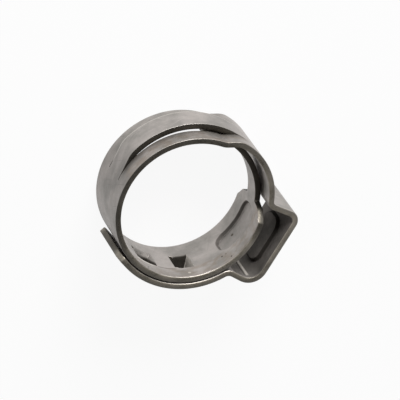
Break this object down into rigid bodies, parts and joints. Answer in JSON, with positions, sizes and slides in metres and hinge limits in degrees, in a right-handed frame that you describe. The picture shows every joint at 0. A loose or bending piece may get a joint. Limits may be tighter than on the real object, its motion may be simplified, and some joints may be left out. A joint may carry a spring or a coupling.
{
  "type": "ear hose clamp",
  "caption": "Open stepless ear clamp rolled from one stainless strip, with a single squared ear, hooks in windows and a tongue in a lanced channel, for squeezing a small hose onto a barb.",
  "frame": {"origin": "centre of the hose seat, in the plane of the strip edge that the clamp lies on", "axes": "+Z along the hose, up from that edge; +X through the middle of the ear"},
  "size_m": [0.0192, 0.0175, 0.007],
  "materials": {
    "stainless": "dull rolled stainless with fine scratches and sheared edges"
  },
  "bodies": {
    "root": {"clamp_band": "stainless"}
  },
  "joints": []
}
